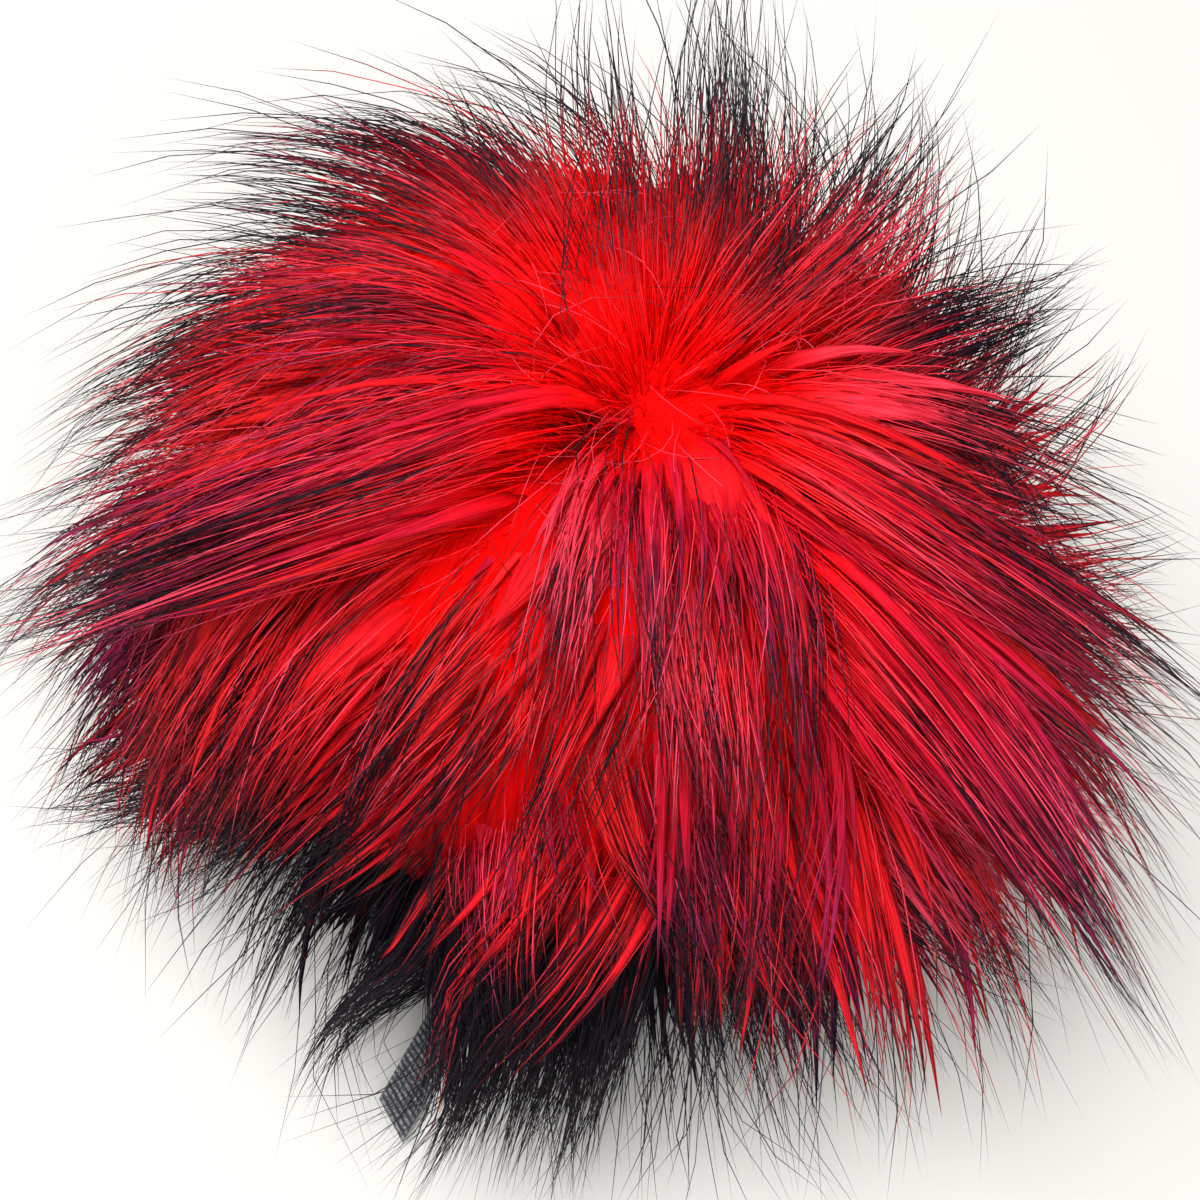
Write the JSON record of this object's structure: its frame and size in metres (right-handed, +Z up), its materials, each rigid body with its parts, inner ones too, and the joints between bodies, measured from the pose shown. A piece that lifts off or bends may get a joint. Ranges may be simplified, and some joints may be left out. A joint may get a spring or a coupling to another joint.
{
  "type": "faux-fur pom pom",
  "caption": "Long-pile faux-fur pom pom: a soft ball of draping fur locks on a flat gathered base, with a narrow ribbon end to tie or sew it on by.",
  "frame": {"origin": "middle of the flat spot under the ball, on the surface that the pom pom rests on", "axes": "+Z up through the crown, -Y towards the side where the ribbon end comes out, +X to the right seen from there"},
  "size_m": [0.1796, 0.1779, 0.087],
  "materials": {
    "fur": "long soft acrylic pile, bright red at the root, crimson along its length and black at the tips, with a silky sheen",
    "ribbon": "charcoal grosgrain, fine cross ribs, matt with a faint grey sheen"
  },
  "bodies": {
    "root": {"fur_ball": "fur", "ribbon_tie": "ribbon"}
  },
  "joints": []
}
